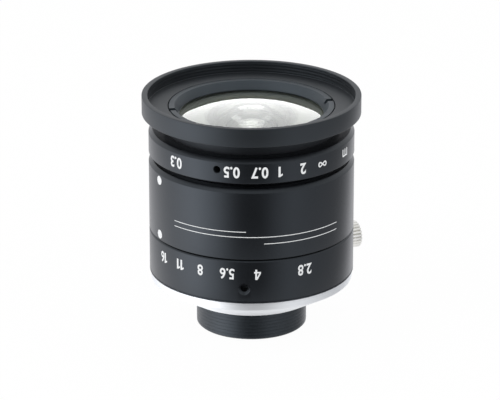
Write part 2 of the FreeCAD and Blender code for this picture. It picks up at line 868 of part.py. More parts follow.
def cam_slot(azimuth, low, high):
    """A cam slot: a band of even width along the drive rivet's path, with round ends."""
    half = iris_pin_radius + iris_pin_fit
    path = Part.BSplineCurve()
    path.interpolate(cam_path(azimuth))
    first = path.FirstParameter
    last = path.LastParameter
    left = []
    right = []
    for step in range(cam_path_steps + 1):
        place = first + (last - first) * step / cam_path_steps
        tangent = path.tangent(place)[0]
        normal = FreeCAD.Vector(-tangent.y, tangent.x, 0) * half
        left.append(path.value(place) + normal)
        right.append(path.value(place) - normal)
    start_tip = path.value(first) - path.tangent(first)[0] * half
    end_tip = path.value(last) + path.tangent(last)[0] * half
    left_side = Part.BSplineCurve()
    left_side.interpolate(left)
    right_side = Part.BSplineCurve()
    right_side.interpolate(right[::-1])
    outline = Part.Wire([
        left_side.toShape(),
        Part.Arc(left[-1], end_tip, right[-1]).toShape(),
        right_side.toShape(),
        Part.Arc(right[0], start_tip, left[0]).toShape(),
    ])
    outline.translate(FreeCAD.Vector(0, 0, low))
    return Part.Face(outline).extrude(FreeCAD.Vector(0, 0, high - low))


def make_iris_cam_ring():
    aperture = iris_open_radius + 2.0 * end_float
    body = turned([
        (aperture, cam_web_bottom),
        (cam_ring_room_radius, cam_web_bottom),
        (cam_ring_room_radius, cam_ring_bottom),
        (cam_ring_rim_radius, cam_ring_bottom),
        (cam_ring_rim_radius, cam_ring_top),
        (aperture, cam_ring_top),
    ])
    cuts = []
    for index in range(iris_blade_count):
        low = cam_web_bottom - end_float
        cuts.append(cam_slot(blade_azimuth(index), low, cam_ring_top + end_float))
    width = 2.0 * (drive_pin_radius + running_fit)
    notch = Part.makeBox(width, cam_ring_rim_radius, cam_ring_top + end_float - iris_plate_height)
    notch_start = drive_pin_reach - 2.0 * end_float
    notch.translate(FreeCAD.Vector(
        -width / 2.0, -notch_start - cam_ring_rim_radius, iris_plate_height))
    notch.rotate(FreeCAD.Vector(0, 0, 0), FreeCAD.Vector(0, 0, 1), drive_pin_azimuth)
    cuts.append(notch)
    return body.cut(cuts)


# Rear group


def make_rear_cell():
    return turned([
        (rear_bore_radius, rear_cell_bottom),
        (rear_cell_radius, rear_cell_bottom),
        (rear_cell_radius, rear_flange_bottom),
        (iris_plate_radius, rear_flange_bottom),
        (iris_plate_radius, rear_flange_top),
        (rear_cell_opening + rear_cell_lip, rear_flange_top),
        (rear_cell_opening, fifth_glass_top),
        (rear_bore_radius, fifth_glass_top),
    ])


def make_fifth_element():
    polished = rear_glass_radius - seat_width
    return lens(
        rear_glass_radius, fifth_glass_bottom, fifth_glass_top,
        (polished - spacer_wall, fifth_glass_front_curve, -1),
        (polished, fifth_glass_back_curve, 1))


def make_rear_front_spacer():
    inner = rear_glass_radius - glass_land / 2.0
    return ring(inner, rear_glass_radius, sixth_glass_top, fifth_glass_bottom)


def make_sixth_element():
    return lens(
        rear_glass_radius, sixth_glass_bottom, sixth_glass_top,
        (rear_polished, sixth_glass_curve, 1),
        (rear_polished, sixth_glass_curve, -1))


def make_rear_back_spacer():
    inner = rear_glass_radius - glass_land / 2.0
    return ring(inner, rear_glass_radius, rear_glass_top, sixth_glass_bottom)


def make_rear_element():
    return lens(
        rear_glass_radius, rear_glass_bottom, rear_glass_top,
        (rear_polished, rear_glass_front_curve, 1),
        (rear_ring_bore - glass_land / 2.0, rear_glass_back_curve, -1))


def make_rear_retaining_ring():
    body = turned([
        (rear_ring_bore, rear_glass_bottom),
        (rear_ring_bore + glass_land, rear_ring_bottom),
        (rear_glass_radius, rear_ring_bottom),
        (rear_glass_radius, rear_glass_bottom),
    ])
    top = rear_ring_bottom + spanner_slot_depth
    return cut_spanner_slots(body, top, spanner_slot_depth, rear_glass_radius)


# Files

pieces = {
    "mount_tube": make_mount_tube,
    "base_ring": make_base_ring,
    "mount_lock_ring": make_mount_lock_ring,
    "main_body": make_main_body,
    "guide_screw": make_guide_screw,
    "outer_sleeve": make_outer_sleeve,
    "focus_ring": make_focus_ring,
    "focus_ring_nut": make_focus_ring_nut,
    "focus_lock_screw": make_focus_lock_screw,
    "iris_ring": make_iris_ring,
    "iris_drive_pin": make_iris_drive_pin,
    "iris_lock_screw": make_iris_lock_screw,
    "lens_barrel": make_lens_barrel,
    "front_hood": make_front_hood,
    "front_retaining_ring": make_front_retaining_ring,
    "front_element": make_front_element,
    "front_spacer": make_front_spacer,
    "second_element": make_second_element,
    "second_retaining_ring": make_second_retaining_ring,
    "second_spacer": make_second_spacer,
    "third_element": make_third_element,
    "third_spacer": make_third_spacer,
    "fourth_element": make_fourth_element,
    "iris_base_plate": make_iris_base_plate,
    "iris_cam_ring": make_iris_cam_ring,
    "rear_cell": make_rear_cell,
    "fifth_element": make_fifth_element,
    "rear_front_spacer": make_rear_front_spacer,
    "sixth_element": make_sixth_element,
    "rear_back_spacer": make_rear_back_spacer,
    "rear_element": make_rear_element,
    "rear_retaining_ring": make_rear_retaining_ring,
}

os.makedirs("parts", exist_ok=True)
for name, make in pieces.items():
    make().exportStep(f"parts/{name}.step")
for blade in range(iris_blade_count):
    make_iris_blade(blade).exportStep(f"parts/iris_blade_{blade + 1}.step")
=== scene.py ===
import json
import math
import bmesh
import bpy
from mathutils import Matrix, Vector


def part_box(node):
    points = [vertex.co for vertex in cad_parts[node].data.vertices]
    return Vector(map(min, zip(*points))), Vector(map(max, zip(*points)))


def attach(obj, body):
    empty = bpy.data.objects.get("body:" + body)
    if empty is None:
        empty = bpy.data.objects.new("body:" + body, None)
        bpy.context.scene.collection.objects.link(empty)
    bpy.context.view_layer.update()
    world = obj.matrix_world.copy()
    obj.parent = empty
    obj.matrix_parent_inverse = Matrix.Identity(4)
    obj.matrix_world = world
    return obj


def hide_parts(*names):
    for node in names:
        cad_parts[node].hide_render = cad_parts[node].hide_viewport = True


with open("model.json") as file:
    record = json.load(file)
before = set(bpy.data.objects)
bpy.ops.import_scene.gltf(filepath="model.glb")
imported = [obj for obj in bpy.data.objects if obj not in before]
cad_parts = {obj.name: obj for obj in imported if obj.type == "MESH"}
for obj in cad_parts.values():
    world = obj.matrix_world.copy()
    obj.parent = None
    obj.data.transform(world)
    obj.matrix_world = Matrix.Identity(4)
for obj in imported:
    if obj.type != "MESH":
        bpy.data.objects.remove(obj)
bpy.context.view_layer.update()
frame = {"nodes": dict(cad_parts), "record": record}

# A machine vision lens that stands on its C-mount end. The optical axis is Z, the origin lies in
# the plane of the mount's shoulder, and an azimuth is counted from -Y, the front, towards +X.
mm = 0.001
weld = 0.0005 * mm       # corners closer than this are one


# Small helpers

def low(node):
    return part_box(node)[0][2]


def high(node):
    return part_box(node)[1][2]


def outerRadius(node):
    lowest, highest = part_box(node)
    return (highest[0] - lowest[0]) / 2


def polar(radius, azimuth, height):
    angle = math.radians(azimuth)
    return Vector((radius * math.sin(angle), -radius * math.cos(angle), height))


def facingOut(azimuth, height):
    # turns +Z outwards at an azimuth, starting from a point on the optical axis
    turn = polar(1, azimuth, 0).to_track_quat("Z", "Y").to_matrix().to_4x4()
    return Matrix.Translation((0, 0, height)) @ turn


def linear(code):
    # a colour written as an sRGB hex value, turned linear for the nodes
    parts = [int(code[place:place + 2], 16) / 255 for place in (1, 3, 5)]
    return [*(p / 12.92 if p <= 0.04045 else ((p + 0.055) / 1.055) ** 2.4 for p in parts), 1.0]


def newObject(name, data):
    thing = bpy.data.objects.new(name, data)
    bpy.context.scene.collection.objects.link(thing)
    return thing


# Modelling tools

def vertsOf(geometry):
    return [part for part in geometry if isinstance(part, bmesh.types.BMVert)]


def turned(profile, steps=240):
    # a lathe piece: the closed outline (radius, height) goes once round the optical axis
    bm = bmesh.new()
    corners = [bm.verts.new((radius, 0, height)) for radius, height in profile]
    for start, end in zip(corners, corners[1:] + corners[:1]):
        if start.co.x > 0 or end.co.x > 0:
            bm.edges.new((start, end))
    bmesh.ops.spin(bm, geom=bm.verts[:] + bm.edges[:], cent=(0, 0, 0), axis=(0, 0, 1),
                   angle=math.tau, steps=steps, use_merge=True, use_duplicate=False)
    bmesh.ops.remove_doubles(bm, verts=bm.verts, dist=weld)
    bmesh.ops.recalc_face_normals(bm, faces=bm.faces)
    return bm


def roundEdges(bm, edges, width):
    bmesh.ops.bevel(bm, geom=edges, offset=width, offset_type="OFFSET", segments=3, profile=0.5,
                    affect="EDGES", clamp_overlap=True, material=-1)


def softenRims(bm, width):
    # rounds the rims of a lathe piece: the edges that run round the axis and turn sharply
    sharp = math.radians(25)
    slack = 0.001 * mm
    rims = []
    for edge in bm.edges:
        start, end = (vertex.co for vertex in edge.verts)
        level = abs(start.z - end.z) < slack and abs(start.xy.length - end.xy.length) < slack
        if level and len(edge.link_faces) == 2 and edge.calc_face_angle() > sharp:
            rims.append(edge)
    roundEdges(bm, rims, width)


def addPiece(name, bm, body, material, standsFor=(), sharp=30):
    # the finished bmesh becomes a smooth piece that rides on its body
    mesh = bpy.data.meshes.new(name)
    bm.to_mesh(mesh)
    bm.free()
    piece = newObject(name, mesh)
    mesh.materials.append(material)
    mesh.shade_smooth()
    mesh.set_sharp_from_angle(angle=math.radians(sharp))
    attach(piece, body)
    if standsFor:
        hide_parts(*standsFor)
    return piece


def addInto(target, bm):
    # puts one bmesh into another
    spare = bpy.data.meshes.new("spare")
    bm.to_mesh(spare)
    bm.free()
    target.from_mesh(spare)
    bpy.data.meshes.remove(spare)


def cut(bm, cutters):
    # takes the cutters, each a closed bmesh, out of bm
    for cutter in cutters:
        blank = newObject("blank", bpy.data.meshes.new("blank"))
        tool = newObject("tool", bpy.data.meshes.new("tool"))
        bm.to_mesh(blank.data)
        cutter.to_mesh(tool.data)
        cutter.free()
        boolean = blank.modifiers.new("cut", "BOOLEAN")
        boolean.operation = "DIFFERENCE"
        boolean.solver = "EXACT"
        boolean.object = tool
        bpy.context.view_layer.update()
        result = bpy.data.meshes.new_from_object(
            blank.evaluated_get(bpy.context.evaluated_depsgraph_get()))
        bm.clear()
        bm.from_mesh(result)
        for thing in (blank, tool):
            bpy.data.objects.remove(thing)
    bmesh.ops.remove_doubles(bm, verts=bm.verts, dist=weld)


def spindle(profile, azimuth, height, steps=48):
    # a small lathe piece whose own axis runs outwards; profile is (radius, distance from the axis)
    bm = turned(profile, steps)
    bmesh.ops.transform(bm, matrix=facingOut(azimuth, height), verts=bm.verts)
    return bm


# a thread's tooth by shares of the pitch. The first one starts an odd share below the thread, so
# that no corner falls on a plane that trims it, and the spare ones are trimmed away
threadTooth = {"rootEnd": 0.12, "crestStart": 0.5, "crestEnd": 0.62, "lead": 2.3713, "spare": 4}


def threadCoil(crest, root, back, pitch, bottom, turns, steps=240):
    # a real helical thread: a row of teeth turned once round while it climbs by one pitch, so that
    # each tooth runs into the next, trimmed flat at both ends. back is its hidden side, in the wall
    bm = bmesh.new()
    top = bottom + turns * pitch
    shape = threadTooth
    outline = ((root, 0), (root, shape["rootEnd"]), (crest, shape["crestStart"]),
               (crest, shape["crestEnd"]))
    corners = []
    for tooth in range(turns + shape["spare"]):
        foot = bottom + (tooth - shape["lead"]) * pitch
        for radius, share in outline:
            corners.append(bm.verts.new((radius, 0, foot + share * pitch)))
    lastFoot = bottom + (turns + shape["spare"] - shape["lead"]) * pitch
    corners.append(bm.verts.new((root, 0, lastFoot)))
    for lower, upper in zip(corners, corners[1:]):
        bm.edges.new((lower, upper))
    bmesh.ops.spin(bm, geom=bm.verts[:] + bm.edges[:], cent=(0, 0, 0), axis=(0, 0, 1),
                   dvec=(0, 0, pitch / steps), angle=math.tau, steps=steps, use_duplicate=False)
    bmesh.ops.remove_doubles(bm, verts=bm.verts, dist=2 * weld)
    for height, way in ((bottom, -1), (top, 1)):
        half = bmesh.ops.bisect_plane(bm, geom=bm.verts[:] + bm.edges[:] + bm.faces[:],
                                      dist=0.2 * weld, plane_co=(0, 0, height),
                                      plane_no=(0, 0, way), clear_outer=True)
        rim = [part for part in half["geom_cut"] if isinstance(part, bmesh.types.BMEdge)]
        for vertex in vertsOf(bmesh.ops.extrude_edge_only(bm, edges=rim)["geom"]):
            vertex.co *= back / vertex.co.xy.length
            vertex.co.z = height
    rim = [edge for edge in bm.edges if edge.is_boundary and edge.verts[0].co.z < (bottom + top) / 2]
    wall = vertsOf(bmesh.ops.extrude_edge_only(bm, edges=rim)["geom"])
    bmesh.ops.translate(bm, vec=(0, 0, top - bottom), verts=wall)
    bmesh.ops.remove_doubles(bm, verts=bm.verts, dist=20 * weld)
    bmesh.ops.recalc_face_normals(bm, faces=bm.faces)
    return bm


# Node tools

def addNode(tree, kind, inputs=None, **settings):
    # one node, with its settings, and with a value or a link for each input named
    node = tree.nodes.new(kind)
    for name, value in settings.items():
        setattr(node, name, value)
    for name, value in (inputs or {}).items():
        if isinstance(value, bpy.types.NodeSocket):
            tree.links.new(value, node.inputs[name])
        else:
            node.inputs[name].default_value = value
    return node


def newMaterial(name):
    material = bpy.data.materials.new(name)
    material.use_nodes = True
    tree = material.node_tree
    tree.nodes.clear()
    return material, tree, addNode(tree, "ShaderNodeTexCoord").outputs["Object"]


def latheLines(tree, place, spacing):
    # fine rings left by the turning tool: they follow the height on a wall, the radius on a face
    parts = addNode(tree, "ShaderNodeSeparateXYZ", {0: place})
    flat = addNode(tree, "ShaderNodeCombineXYZ", {0: parts.outputs[0], 1: parts.outputs[1]})
    radius = addNode(tree, "ShaderNodeVectorMath", {0: flat.outputs[0]}, operation="LENGTH")
    along = addNode(tree, "ShaderNodeMath", {0: radius.outputs["Value"], 1: parts.outputs[2]},
                    operation="ADD")
    count = addNode(tree, "ShaderNodeMath", {0: along.outputs[0], 1: 1 / spacing}, operation="MULTIPLY")
    return addNode(tree, "ShaderNodeTexNoise", {"W": count.outputs[0], "Detail": 2.0, "Scale": 1.0},
                   noise_dimensions="1D").outputs["Fac"]


def anodisedAluminium(name, finish):
    # Turned aluminium, finely blasted and black anodised: a satin black with a soft, wide gloss
    material, tree, place = newMaterial(name)
    patch = 6 * mm                     # the dye takes a little unevenly over patches of this width
    grain = addNode(tree, "ShaderNodeTexNoise", {"Vector": place, "Scale": 1 / finish["grain"],
                                                 "Detail": 3.0})
    cloud = addNode(tree, "ShaderNodeTexNoise", {"Vector": place, "Scale": 1 / patch, "Detail": 1.0})
    tone = addNode(tree, "ShaderNodeMix", {"Factor": cloud.outputs["Fac"], "A": linear(finish["dark"]),
                                           "B": linear(finish["light"])}, data_type="RGBA")
    sheen = addNode(tree, "ShaderNodeMapRange", {
        "Value": grain.outputs["Fac"], "From Min": 0.3, "From Max": 0.7,
        "To Min": finish["roughness"] - 0.03, "To Max": finish["roughness"] + 0.04})
    rings = latheLines(tree, place, finish["lineSpacing"])
    relief = addNode(tree, "ShaderNodeMix", {"Factor": 0.5, "A": grain.outputs["Fac"], "B": rings})
    bump = addNode(tree, "ShaderNodeBump", {"Height": relief.outputs["Result"],
                                            "Strength": finish["relief"], "Distance": 0.01 * mm})
    shader = addNode(tree, "ShaderNodeBsdfPrincipled", {
        "Base Color": tone.outputs["Result"], "Roughness": sheen.outputs["Result"], "IOR": 1.5,
        "Specular Tint": linear(finish["dye"]), "Normal": bump.outputs["Normal"]})
    addNode(tree, "ShaderNodeOutputMaterial", {"Surface": shader.outputs["BSDF"]})
    return material


def turnedMetal(name, finish):
    # Metal straight from the lathe, plated or blackened: fine rings that spread the light
    material, tree, place = newMaterial(name)
    speck = 0.3 * mm
    rings = latheLines(tree, place, finish["lineSpacing"])
    grain = addNode(tree, "ShaderNodeTexNoise", {"Vector": place, "Scale": 1 / speck, "Detail": 2.0})
    tone = addNode(tree, "ShaderNodeMix", {"Factor": rings, "A": linear(finish["dark"]),
                                           "B": linear(finish["light"])}, data_type="RGBA")
    sheen = addNode(tree, "ShaderNodeMapRange", {
        "Value": grain.outputs["Fac"], "From Min": 0.3, "From Max": 0.7,
        "To Min": finish["roughness"] - 0.05, "To Max": finish["roughness"] + 0.06})
    bump = addNode(tree, "ShaderNodeBump", {"Height": rings, "Strength": finish["relief"],
                                            "Distance": 0.01 * mm})
    grooves = addNode(tree, "ShaderNodeTangent", direction_type="RADIAL", axis="Z")
    shader = addNode(tree, "ShaderNodeBsdfPrincipled", {
        "Base Color": tone.outputs["Result"], "Metallic": 1.0, "Roughness": sheen.outputs["Result"],
        "Anisotropic": finish["spread"], "Anisotropic Rotation": 0.25,
        "Tangent": grooves.outputs["Tangent"], "Normal": bump.outputs["Normal"]})
    addNode(tree, "ShaderNodeOutputMaterial", {"Surface": shader.outputs["BSDF"]})
    return material


def polishedGlass(name, finish):
    # Optical glass with an anti-reflection coating: clear, with a slight tint in its gloss
    material, tree, place = newMaterial(name)
    patch = 2 * mm
    haze = addNode(tree, "ShaderNodeTexNoise", {"Vector": place, "Scale": 1 / patch, "Detail": 2.0})
    clarity = addNode(tree, "ShaderNodeMix", {"Factor": haze.outputs["Fac"], "A": linear("#FFFFFF"),
                                              "B": linear(finish["tint"])}, data_type="RGBA")
    shader = addNode(tree, "ShaderNodeBsdfPrincipled", {
        "Base Color": clarity.outputs["Result"], "Roughness": finish["roughness"],
        "IOR": finish["ior"], "Transmission Weight": 1.0,
        "Specular Tint": linear(finish["coating"])})
    sight = addNode(tree, "ShaderNodeLightPath")
    clear = addNode(tree, "ShaderNodeBsdfTransparent", {"Color": linear(finish["shadow"])})
    passing = addNode(tree, "ShaderNodeMixShader", {     # lets the lamps reach what is behind
        0: sight.outputs["Is Shadow Ray"], 1: shader.outputs["BSDF"], 2: clear.outputs[0]})
    addNode(tree, "ShaderNodeOutputMaterial", {"Surface": passing.outputs[0]})
    return material


def mattCoat(name, finish):
    # A thin coat of lacquer or enamel: matt, with a slightly uneven film
    material, tree, place = newMaterial(name)
    film = addNode(tree, "ShaderNodeTexNoise", {"Vector": place, "Scale": 1 / finish["grain"],
                                                "Detail": finish["detail"]})
    tone = addNode(tree, "ShaderNodeMix", {"Factor": film.outputs["Fac"], "A": linear(finish["dark"]),
                                           "B": linear(finish["light"])}, data_type="RGBA")
    shader = addNode(tree, "ShaderNodeBsdfPrincipled", {
        "Base Color": tone.outputs["Result"], "Roughness": finish["roughness"], "IOR": finish["ior"]})
    addNode(tree, "ShaderNodeOutputMaterial", {"Surface": shader.outputs["BSDF"]})
    return material


print("materials")
# the walls of the rings and the sleeve: the smoothest black, with long highlights
satinBlack = anodisedAluminium("satinBlackAnodised", {
    "dark": "#0B0C0E", "light": "#121316", "roughness": 0.30, "grain": 0.12 * mm,
    "lineSpacing": 0.12 * mm, "relief": 0.08, "dye": "#E4F2FF"})
# the hood: blasted coarser, so it is greyer and has no sharp highlight
hoodBlack = anodisedAluminium("blastedBlackAnodised", {
    "dark": "#17191B", "light": "#1E2022", "roughness": 0.42, "grain": 0.12 * mm,
    "lineSpacing": 0.15 * mm, "relief": 0.12, "dye": "#E4F2FF"})
# the ring round the front glass: blasted, and greyer still
ringBlack = anodisedAluminium("blastedRingAnodised", {
    "dark": "#2A2F33", "light": "#32373B", "roughness": 0.42, "grain": 0.12 * mm,
    "lineSpacing": 0.15 * mm, "relief": 0.08, "dye": "#E4F2FF"})
# the mount tube: satin, between the walls and the hood
tubeBlack = anodisedAluminium("satinTubeAnodised", {
    "dark": "#15181B", "light": "#1B1F22", "roughness": 0.36, "grain": 0.12 * mm,
    "lineSpacing": 0.15 * mm, "relief": 0.08, "dye": "#E4F2FF"})
# everything inside: matt, to swallow stray light
innerBlack = anodisedAluminium("mattInnerBlack", {
    "dark": "#131416", "light": "#1A1B1D", "roughness": 0.5, "grain": 0.15 * mm,
    "lineSpacing": 0.25 * mm, "relief": 0.2, "dye": "#E8F3FF"})
brightNickel = turnedMetal("turnedBrightNickel", {
    "dark": "#E6E9EC", "light": "#F3F5F7", "roughness": 0.52, "lineSpacing": 0.16 * mm,
    "relief": 0.1, "spread": 0.7})
screwSteel = turnedMetal("nickelPlatedSteel", {
    "dark": "#E2E2DE", "light": "#ECEBE7", "roughness": 0.30, "lineSpacing": 0.40 * mm,
    "relief": 0.02, "spread": 0.0})
bladeSteel = turnedMetal("blackenedBladeSteel", {
    "dark": "#1C1D1F", "light": "#2A2B2E", "roughness": 0.45, "lineSpacing": 0.10 * mm,
    "relief": 0.1, "spread": 0.0})
clearGlass = polishedGlass("coatedOpticalGlass", {
    "tint": "#FCFDF9", "coating": "#F2F6F4", "shadow": "#F4F6F4", "ior": 1.62, "roughness": 0.0})
# the ground rim and flat of a glass element, lacquered black and seen through the glass
rimLacquer = mattCoat("lacqueredGlassRim", {
    "dark": "#4C5048", "light": "#565A52", "roughness": 0.6, "ior": 1.5, "grain": 0.3 * mm,
    "detail": 4.0})
# white enamel wiped into the engraved marks
markPaint = mattCoat("whiteMarkEnamel", {
    "dark": "#E6E8EA", "light": "#F8FAFB", "roughness": 0.5, "ior": 1.45, "grain": 0.2 * mm,
    "detail": 2.0})

slotFinish = {
    "black_anodised": satinBlack, "bright_nickel": brightNickel, "screw_steel": screwSteel,
    "blade_steel": bladeSteel, "optical_glass": clearGlass}
innerNodes = {"lens_barrel", "front_spacer", "second_retaining_ring", "second_spacer", "third_spacer",
              "rear_cell", "rear_front_spacer", "rear_back_spacer", "rear_retaining_ring",
              "iris_base_plate", "iris_cam_ring", "main_body"}
for part in frame["record"]["subparts"]:
    finish = innerBlack if part["node"] in innerNodes else slotFinish[part["material_slot"]]
    node = frame["nodes"][part["node"]]
    node.data.materials.clear()
    node.data.materials.append(finish)


print("mount end")
cMount = {"threadRadius": 12.7 * mm, "pitch": 25.4 / 32 * mm, "shoulderRadius": 15.0 * mm}
mountTube = {
    "wall": 1.5 * mm, "endChamfer": 0.3 * mm, "threadTurns": 7, "threadDepth": 0.03 * mm,
    "coilDepth": 0.6 * mm, "runOut": 0.6 * mm, "neckRelief": 0.4 * mm, "flangeThickness": 2.0 * mm,
    "edge": 0.05 * mm}


def makeMountTube(size):
    bottom, top = low("mount_tube"), high("mount_tube")
    flange = outerRadius("mount_tube")
    crest = cMount["threadRadius"]
    bore = crest - size["wall"]
    root = crest - size["threadDepth"]
    floor = top - size["flangeThickness"]
    neck = crest - size["neckRelief"]
    bm = turned([
        (bore, bottom), (root - size["endChamfer"], bottom), (root, bottom + size["endChamfer"]),
        (root, -size["runOut"]), (crest, -size["runOut"]), (crest, 0), (neck, 0), (neck, floor),
        (flange, floor), (flange, top), (bore, top)])
    softenRims(bm, size["edge"])
    addPiece("mountTube", bm, "housing", tubeBlack, ["mount_tube"])
    threadLength = size["threadTurns"] * cMount["pitch"]
    coil = threadCoil(crest, root, crest - size["coilDepth"], cMount["pitch"],
                      -size["runOut"] - threadLength, size["threadTurns"])
    addPiece("mountThread", coil, "housing", tubeBlack, sharp=40)


makeMountTube(mountTube)

baseRing = {
    "floor": 2.5 * mm, "ledge": 4.5 * mm, "coneHeight": 4.6 * mm, "bandTop": 6.35 * mm,
    "spigotRadius": 19.48 * mm, "threadRadius": 18.02 * mm, "pocketRadius": 17.52 * mm,
    "edge": 0.12 * mm, "fit": 0.02 * mm}


def makeBaseRing(size):
    band = outerRadius("base_ring")
    top = high("base_ring")
    bore = cMount["threadRadius"] + size["fit"]
    bm = turned([
        (bore, 0), (cMount["shoulderRadius"], 0), (band, size["coneHeight"]), (band, size["bandTop"]),
        (size["spigotRadius"], size["bandTop"]), (size["spigotRadius"], top),
        (size["threadRadius"], top), (size["threadRadius"], size["ledge"]),
        (size["pocketRadius"], size["ledge"]), (size["pocketRadius"], size["floor"]),
        (bore, size["floor"])])
    softenRims(bm, size["edge"])
    addPiece("baseRing", bm, "housing", brightNickel, ["base_ring"])


makeBaseRing(baseRing)


print("rings and sleeve")
# the tapped holes of the two rings; the cutter starts above the wall and ends in the open below it
lockHole = {"radius": 0.80 * mm, "mouth": 0.12 * mm, "deepMouth": 0.6 * mm, "spacing": 120,
            "pitch": 0.4 * mm, "threadDepth": 0.13 * mm, "threadTurns": 5,
            "above": 3 * mm, "below": 9 * mm}


def lockHoleCutter(azimuth, height, wall, mouth):
    radius = lockHole["radius"]
    wide = radius + mouth + mouth
    start, end = wall - lockHole["below"], wall + lockHole["above"]
    thread = []
    for turn in range(lockHole["threadTurns"], 0, -1):
        depth = wall - mouth - turn * lockHole["pitch"]
        thread += [(radius, depth), (radius + lockHole["threadDepth"], depth + lockHole["pitch"] / 2)]
    return spindle([(0, start), (radius, start), *thread, (radius, wall - mouth), (wide, wall + mouth),
                    (wide, end), (0, end)], azimuth, height)


def cutLockHoles(bm, azimuth, height, wall, mouth):
    places = [azimuth + turn * lockHole["spacing"] for turn in range(3)]
    cut(bm, [lockHoleCutter(place, height, wall, mouth) for place in places])


irisRing = {
    "innerRadius": 21.55 * mm, "counterBore": 22.55 * mm, "stepHeight": 15.95 * mm,
    "topChamfer": 0.35 * mm, "edge": 0.08 * mm, "holeAzimuth": -4.1, "holeRise": 3.4 * mm,
    "screwTip": 21.6 * mm, "footHeight": 0.32 * mm, "grooveHeight": 0.16 * mm,
    "grooveDepth": 0.12 * mm}


def makeIrisRing(size):
    wall = outerRadius("iris_ring")
    bottom, top = low("iris_ring"), high("iris_ring")
    foot = bottom + size["footHeight"]
    groove = foot + size["grooveHeight"]
    floor = wall - size["grooveDepth"]
    bm = turned([
        (size["innerRadius"], bottom), (wall, bottom), (wall, foot), (floor, foot), (floor, groove),
        (wall, groove), (wall, top - size["topChamfer"]), (wall - size["topChamfer"], top),
        (size["counterBore"], top), (size["counterBore"], size["stepHeight"]),
        (size["innerRadius"], size["stepHeight"])])
    softenRims(bm, size["edge"])
    cutLockHoles(bm, size["holeAzimuth"], bottom + size["holeRise"], wall, lockHole["deepMouth"])
    addPiece("irisRing", bm, "iris", satinBlack, ["iris_ring"])


makeIrisRing(irisRing)

outerSleeve = {
    "landBore": 21.52 * mm, "landTop": 20.5 * mm, "bore": 22.0 * mm, "lipBore": 20.8 * mm,
    "lipHeight": 2.2 * mm, "topChamfer": 0.85 * mm, "seamRise": 0.16 * mm, "seamDepth": 0.3 * mm,
    "edge": 0.06 * mm}


def makeOuterSleeve(size):
    wall = outerRadius("outer_sleeve")
    bottom, top = low("outer_sleeve"), high("outer_sleeve")
    seam, seamTop = wall - size["seamDepth"], bottom + size["seamRise"]
    lip = top - size["lipHeight"]
    bm = turned([
        (size["landBore"], bottom), (seam, bottom), (seam, seamTop), (wall, seamTop),
        (wall, top - size["topChamfer"]), (wall - size["topChamfer"], top), (size["lipBore"], top),
        (size["lipBore"], lip), (size["bore"], lip), (size["bore"], size["landTop"]),
        (size["landBore"], size["landTop"])])
    softenRims(bm, size["edge"])
    addPiece("outerSleeve", bm, "housing", satinBlack, ["outer_sleeve"])


makeOuterSleeve(outerSleeve)

focusRing = {
    "skirtInner": 20.05 * mm, "skirtOuter": 20.75 * mm, "wallBottom": 34.9 * mm,
    "helicoid": 19.95 * mm, "step": 36.1 * mm, "topChamfer": 0.85 * mm, "bottomBevel": 0.25 * mm,
    "edge": 0.08 * mm, "holeAzimuth": -19.2, "holeRise": 3.1 * mm, "screwTip": 20.0 * mm}


def makeFocusRing(size):
    wall = outerRadius("focus_ring")
    bottom, top = low("focus_ring"), high("focus_ring")
    foot = size["wallBottom"]
    bm = turned([
        (size["skirtInner"], bottom), (size["skirtOuter"], bottom), (size["skirtOuter"], foot),
        (wall - size["bottomBevel"], foot), (wall, foot + size["bottomBevel"]),
        (wall, top - size["topChamfer"]), (wall - size["topChamfer"], top), (size["helicoid"], top),
        (size["helicoid"], size["step"]), (size["skirtInner"], size["step"])])
    softenRims(bm, size["edge"])
    cutLockHoles(bm, size["holeAzimuth"], foot + size["holeRise"], wall, lockHole["mouth"])
    addPiece("focusRing", bm, "focus", satinBlack, ["focus_ring"])


makeFocusRing(focusRing)


print("front hood and its ring")
frontHood = {
    "footRadius": 20.4 * mm, "spigotBore": 19.52 * mm, "floorBore": 19.05 * mm, "floor": 0.75 * mm,
    "underRise": 0.6 * mm, "threadCrest": 23.6 * mm, "threadDepth": 0.08 * mm, "pitch": 0.75 * mm,
    "coilDepth": 0.55 * mm, "threadTurns": 3, "runOut": 0.15 * mm, "rimDepth": 2.65 * mm,
    "edge": 0.14 * mm}


def makeFrontHood(size):
    rim = outerRadius("front_hood")
    bottom, top = low("front_hood"), high("front_hood")
    floor = top - size["rimDepth"]
    root = size["threadCrest"] + size["threadDepth"]
    bm = turned([
        (size["spigotBore"], bottom), (size["footRadius"], bottom), (rim, bottom + size["underRise"]),
        (rim, top), (root, top), (root, floor), (size["floorBore"], floor),
        (size["floorBore"], floor - size["floor"]), (size["spigotBore"], floor - size["floor"])])
    softenRims(bm, size["edge"])
    addPiece("frontHood", bm, "barrel", hoodBlack, ["front_hood"])
    coil = threadCoil(size["threadCrest"], root, size["threadCrest"] + size["coilDepth"],
                      size["pitch"], floor + size["runOut"], size["threadTurns"])
    addPiece("filterThread", coil, "barrel", hoodBlack, sharp=40)


makeFrontHood(frontHood)

frontRing = {
    "lipWidth": 1.25 * mm, "boreRadius": 16.4 * mm, "coneHeight": 1.8 * mm, "seatBore": 16.7 * mm,
    "seatRise": 0.3 * mm, "slotWidth": 1.5 * mm, "slotDepth": 1.0 * mm, "slotAzimuth": -79.5,
    "edge": 0.07 * mm}


